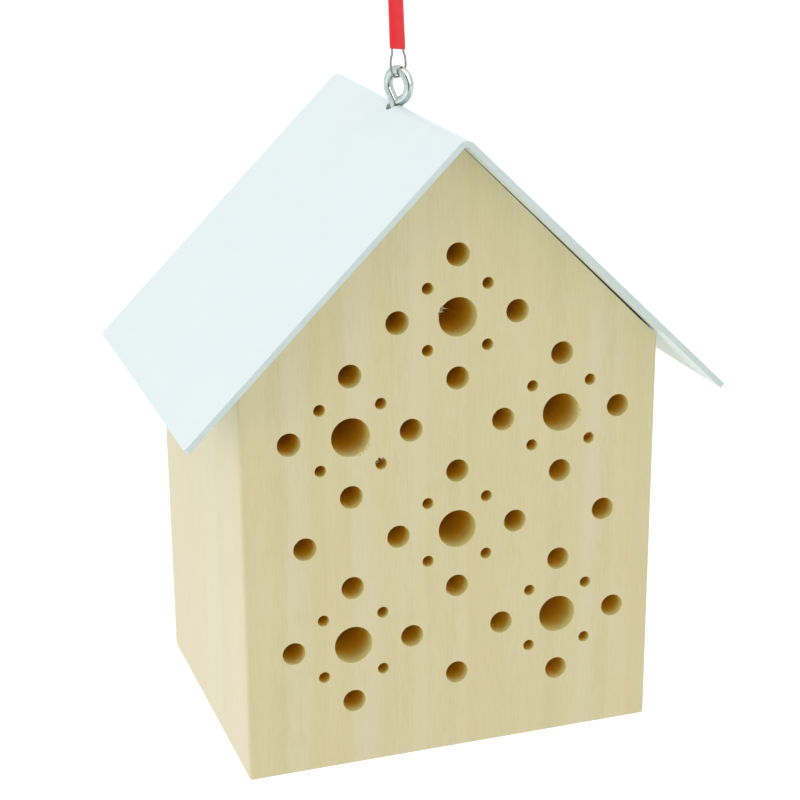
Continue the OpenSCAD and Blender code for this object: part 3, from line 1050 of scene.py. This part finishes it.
def at_rims(tree, shapes):
    """The pattern of three shapes, put on the front of the block."""
    laid = put(tree, "GeometryNodeGroup", dict(zip(("Large", "Medium", "Small"), shapes)), node_tree=pattern)
    on_front = moved(tree, laid.outputs[0], translation=pattern_middle)
    return put(tree, "GeometryNodeRealizeInstances", {"Geometry": on_front}).outputs[0]


def ready_drill(tree, mesh, shift, bore):
    """Marks a shape that stands on Z, lays it down along +Y, and moves it in by shift."""
    known = stored(tree, mesh, "drilled", True, "BOOLEAN", "FACE")
    known = stored(tree, known, "bore", bore, "FLOAT", "FACE")
    return moved(tree, known, (-math.pi / 2, 0, 0), join_xyz(tree, y=shift))


drills, cones = [], []
for size, depth, sides in (("Large", "Depth", 96), ("Medium", "Depth", 64), ("Small", "Small Depth", 40)):
    bore = product(drill_tree, given[size], 0.5)
    length = sum_up(drill_tree, "ADD", given[depth], CONE)
    rod = put(drill_tree, "GeometryNodeMeshCylinder", {"Vertices": sides, "Radius": bore, "Depth": length})
    middle = sum_up(drill_tree, "SUBTRACT", product(drill_tree, length, 0.5), CONE)
    drills.append(ready_drill(drill_tree, rod.outputs["Mesh"], middle, bore))
    mouth = sum_up(drill_tree, "ADD", bore, CONE)
    cone = put(
        drill_tree, "GeometryNodeMeshCone",
        {"Vertices": sides, "Radius Top": bore, "Radius Bottom": mouth, "Depth": CONE},
    )
    cones.append(ready_drill(drill_tree, cone.outputs["Mesh"], -CONE, bore))
print("sizes of drill:", len(drills))

# %% Make the rims ragged and drill
spot = position(drill_tree)
fine = sum_up(drill_tree, "SUBTRACT", noise(drill_tree, spot, 1800), 0.5)
rough_part = product(drill_tree, fine, given["Ragged"])
tears = put(drill_tree, "GeometryNodeGroup", node_tree=torn).outputs["Torn"]
coarse = stretch(drill_tree, noise(drill_tree, spot, 2600, detail=1), 0.4, 0.65)
tear_part = product(drill_tree, tears, coarse, given["Tear"])
push = sum_up(drill_tree, "ADD", sum_up(drill_tree, "ADD", rough_part, tear_part), given["Nick"])
ragged = put(
    drill_tree, "GeometryNodeSetPosition",
    {"Geometry": at_rims(drill_tree, cones), "Offset": join_xyz(drill_tree, y=push)},
)
bored = put(
    drill_tree, "GeometryNodeMeshBoolean",
    {"Mesh 1": given["Geometry"], "Mesh 2": [at_rims(drill_tree, drills), ragged.outputs[0]]},
    operation="DIFFERENCE", solver="EXACT",
)
inside = recalled(drill_tree, "drilled", "BOOLEAN")
end_tree(drill_tree, bored.outputs["Mesh"], given["Material"], chosen=inside)
block = grow("house_block_drilled", block_mesh, drill_tree, drilled_wood)
weighted = block.modifiers.new("flat faces stay flat", "WEIGHTED_NORMAL")
weighted.keep_sharp = True
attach(block, "house")
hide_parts("house_block")
print("materials on the block:", [material.name for material in block.data.materials])

# %% [markdown]
# ## Torn fibres
# Thin splinters stand at the rims where the grain was lifted. Hair could grow them, but the torn
# places would have to be painted on for it. In a tree, points on every rim are kept by chance, and
# more of them where the torn places group says so. The seed is fixed, so they stay the same ones.

# %% Points on the rims
splinter_tree, given = geometry_tree(
    "torn fibres",
    {
        **BORES, "Length": (NUMBER, 0.6 * MM), "Thickness": (NUMBER, 0.04 * MM),
        "Share": (NUMBER, 0.8), "Seed": (COUNT, 5),
    },
)


def random_number(tree, low, high, seed):
    values = {2: low, 3: high, "Seed": seed}
    return put(tree, "FunctionNodeRandomValue", values, data_type="FLOAT").outputs[1]


rims = []
for size, count in (("Large", 130), ("Medium", 80), ("Small", 40)):
    bore = product(splinter_tree, given[size], 0.5)
    ring = put(splinter_tree, "GeometryNodeMeshCircle", {"Vertices": count, "Radius": bore})
    upright = moved(splinter_tree, ring.outputs[0], (math.pi / 2, 0, 0))
    away = vector_sum(splinter_tree, "NORMALIZE", position(splinter_tree))
    rims.append(stored(splinter_tree, upright, "outward", away, "FLOAT_VECTOR", "POINT"))
laid = at_rims(splinter_tree, rims)
tears = put(splinter_tree, "GeometryNodeGroup", node_tree=torn).outputs["Torn"]
chance = product(splinter_tree, sum_up(splinter_tree, "ADD", tears, 0.015), given["Share"])
kept = sum_up(splinter_tree, "LESS_THAN", random_number(splinter_tree, 0, 1, given["Seed"]), chance)
print("kinds of rim:", len(rims))

# %% [markdown]
# Each splinter is a curved spike of five sides. On the rims they lean inwards, each its own way and
# of its own size. A few long ones stand where the photograph shows them, each with its own aim.

# %% One curved splinter
CURL = 0.3
spike = put(
    splinter_tree, "GeometryNodeMeshCone",
    {
        "Vertices": 5, "Side Segments": 5, "Radius Top": 0.004 * MM, "Radius Bottom": given["Thickness"],
        "Depth": given["Length"],
    },
)
share = sum_up(splinter_tree, "DIVIDE", part_of(splinter_tree, position(splinter_tree), "Z"), given["Length"])
curl = product(splinter_tree, share, share, given["Length"], CURL)
curled = put(
    splinter_tree, "GeometryNodeSetPosition",
    {"Geometry": spike.outputs["Mesh"], "Offset": join_xyz(splinter_tree, curl)},
).outputs[0]
print("a splinter's tip bends over by", CURL, "of its length")

# %% Stand the splinters on their points
spread = put(
    splinter_tree, "FunctionNodeRandomValue",
    {0: (-0.7, -0.75, -1), 1: (0.7, 0.1, 1), "Seed": given["Seed"]}, data_type="FLOAT_VECTOR",
).outputs[0]
lean = vector_sum(splinter_tree, "SUBTRACT", spread, recalled(splinter_tree, "outward", "FLOAT_VECTOR"))
facing = put(splinter_tree, "FunctionNodeAlignRotationToVector", {"Vector": lean}, axis="Z")
long = random_number(splinter_tree, 0.4, 1.5, sum_up(splinter_tree, "ADD", given["Seed"], 1))
thick = random_number(splinter_tree, 0.6, 1.4, sum_up(splinter_tree, "ADD", given["Seed"], 2))
size = join_xyz(splinter_tree, thick, thick, long)
standing = copies(splinter_tree, laid, curled, Selection=kept, Rotation=facing.outputs[0], Scale=size)
aim = recalled(splinter_tree, "aim", "FLOAT_VECTOR")
aimed = put(splinter_tree, "FunctionNodeAlignRotationToVector", {"Vector": aim}, axis="Z")
reach = sum_up(splinter_tree, "DIVIDE", vector_sum(splinter_tree, "LENGTH", aim), given["Length"])
long_size = join_xyz(splinter_tree, 1.6, 1.6, reach)
chosen_ones = copies(splinter_tree, given["Geometry"], curled, Rotation=aimed.outputs[0], Scale=long_size)
all_of_them = put(splinter_tree, "GeometryNodeJoinGeometry", {0: [standing, chosen_ones]})
end_tree(splinter_tree, all_of_them.outputs[0], given["Material"])

# %% Grow the splinters
long_fibres = (
    ((-3.3, 120.4), (1.9, -0.3, -0.05)), ((-3.7, 119.6), (1.1, -0.25, 0)), ((-21.9, 88.1), (-0.8, -0.3, 0.7)),
    ((-22.8, 86.9), (-0.4, -0.5, 0.7)), ((-24.6, 85.4), (-0.9, -0.2, 0.5)), ((33.9, 89.3), (-0.9, -0.3, 0.3)),
)
ROOTED = 0.05
fibre_start = bpy.data.meshes.new("splinter_start")
fibre_start.from_pydata([tuple(in_house(x, ROOTED, z)) for (x, z), _ in long_fibres], [], [])
aims = [part * MM for _, aim in long_fibres for part in aim]
fibre_start.attributes.new("aim", "FLOAT_VECTOR", "POINT").data.foreach_set("vector", aims)
splinters = grow("torn_fibres", fibre_start, splinter_tree, torn_wood)
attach(splinters, "house")

# %% [markdown]
# ## Floor and sky
# The photograph was lit by large soft sources on a white background. A wide white floor lies well
# below the hanging house. The sky lights the house more from the right and behind than from the
# left and the front, because the lamps stand there. Straight rays, and rays that come by shiny
# metal or glass, see the sky and the floor white all over: that makes the background white without
# putting more light on the house.

# %% The floor
FLOOR_BELOW = 0.35
FLOOR_REACH = 6.0
FLOOR_GLOW = 0.45


def showing(tree):
    """One for the rays that show the background: straight, by shiny metal or through glass."""
    path = put(tree, "ShaderNodeLightPath").outputs
    straight_or_shiny = sum_up(tree, "ADD", path["Is Camera Ray"], path["Is Glossy Ray"])
    return sum_up(tree, "ADD", straight_or_shiny, path["Is Transmission Ray"])


floor_material, tree, shader = new_material("white_floor", Roughness=0.9)
shader.inputs["Base Color"].default_value = (0.86, 0.86, 0.86, 1)
shader.inputs["Emission Color"].default_value = (1, 1, 1, 1)
tree.links.new(product(tree, showing(tree), FLOOR_GLOW), shader.inputs["Emission Strength"])
floor_mesh = bpy.data.meshes.new("floor")
floor_z = front_foot.z - FLOOR_BELOW
floor_corners = [(x * FLOOR_REACH, y * FLOOR_REACH, floor_z) for x, y in ((-1, -1), (1, -1), (1, 1), (-1, 1))]
floor_mesh.from_pydata(floor_corners, [], [(0, 1, 2, 3)])
floor_mesh.materials.append(floor_material)
floor = new_piece("floor", floor_mesh)
print("the floor lies", FLOOR_BELOW, "m below the house")

# %% The sky
BRIGHT_SIDE = (0.713, 0.688, 0.138)
FAR_SIDE_GLOW, BRIGHT_SIDE_GLOW = 0.535, 1.137
world = bpy.data.worlds.new("soft sky")
scene.world = world
world.use_nodes = True
tree = world.node_tree
tree.nodes.clear()
direction = put(tree, "ShaderNodeTexCoord").outputs["Generated"]
towards = put(tree, "ShaderNodeVectorMath", {0: direction, 1: BRIGHT_SIDE}, operation="DOT_PRODUCT")
glow = put(
    tree, "ShaderNodeMapRange",
    {
        "Value": towards.outputs["Value"], "From Min": -1, "From Max": 1,
        "To Min": FAR_SIDE_GLOW, "To Max": BRIGHT_SIDE_GLOW,
    },
).outputs[0]
shown = showing(tree)
unseen_glow = product(tree, glow, sum_up(tree, "SUBTRACT", 1, shown))
strength = sum_up(tree, "ADD", unseen_glow, shown)
sky = put(tree, "ShaderNodeBackground", {"Color": (1, 1, 1, 1), "Strength": strength})
put(tree, "ShaderNodeOutputWorld", {"Surface": sky.outputs[0]})
print("sky: from", FAR_SIDE_GLOW, "to", BRIGHT_SIDE_GLOW, "towards", BRIGHT_SIDE)

# %% [markdown]
# ## Lamps
# Two large soft lamps make the left side paler than the front, as in the photograph. The tall one
# stands at the left and reaches under the eave. The other hangs above, a little in front. They are
# hidden from reflections, because the shiny eye would show them as two small squares.

# %% The lamps
house_middle = in_house(0, 42, 80)


def soft_lamp(name, place, width, height, power):
    """A lamp of this size in metres and power in watts, turned to the middle of the house."""
    lamp = bpy.data.lights.new(name, "AREA")
    lamp.shape = "RECTANGLE"
    lamp.size = width
    lamp.size_y = height
    lamp.energy = power
    holder = bpy.data.objects.new(name, lamp)
    scene.collection.objects.link(holder)
    holder.location = place
    holder.rotation_euler = (house_middle - place).to_track_quat("-Z", "Y").to_euler()
    holder.visible_glossy = False


soft_lamp("left", house_middle + Vector((-1.4, -0.4, 0.2)), 0.8, 1.35, 5.15)
soft_lamp("upper", house_middle + Vector((0.1, -0.35, 1.5)), 0.9, 0.9, 2.2)

# %% [markdown]
# ## Cards for the shiny metal
# Metal shows only what is round it, and in an even white room it looks flat. Product photographers
# stand cards beside it. A dark card behind the camera draws the dark line along the wire on both
# sides of the ring, and a bright card draws the white streak next to it. Only reflections see them.

# %% The cards
CARD_AWAY = 0.62
CARD_GLOW = 2.2
dark, tree, shader = new_material("dark_card", Roughness=0.9)
shader.inputs["Base Color"].default_value = (0.03, 0.03, 0.03, 1)
bright, tree, shader = new_material("bright_card", Roughness=0.9)
shader.inputs["Emission Color"].default_value = (1, 1, 1, 1)
shader.inputs["Emission Strength"].default_value = CARD_GLOW


def new_card(name, material, turns, half_width):
    """A bent strip round the eye. Each turn is (degrees left of the front, degrees up)."""
    strip = []
    for left_of_front, high in turns:
        sideways, upwards = math.radians(left_of_front), math.radians(high)
        level = Vector((-math.sin(sideways), -math.cos(sideways), 0))
        middle = ring_top + (level * math.cos(upwards) + Vector((0, 0, math.sin(upwards)))) * CARD_AWAY
        strip += [tuple(middle - right * half_width), tuple(middle + right * half_width)]
    mesh = bpy.data.meshes.new(name)
    mesh.from_pydata(strip, [], [(0, 1, 3, 2), (2, 3, 5, 4)])
    mesh.materials.append(material)
    card = new_piece(name, mesh)
    card.visible_diffuse = False
    card.visible_shadow = False
    card.visible_camera = False


new_card("dark_card", dark, ((18.8, -30), (20, 12), (38, 46)), 0.13)
new_card("bright_card", bright, ((-20, 12), (-21, 48), (-60, 86)), 0.3)
print("the two cards stand", CARD_AWAY, "m from the eye")

# %% [markdown]
# ## The view
# Colours are shown as they are, with the Standard view transform.

scene.view_settings.view_transform = "Standard"
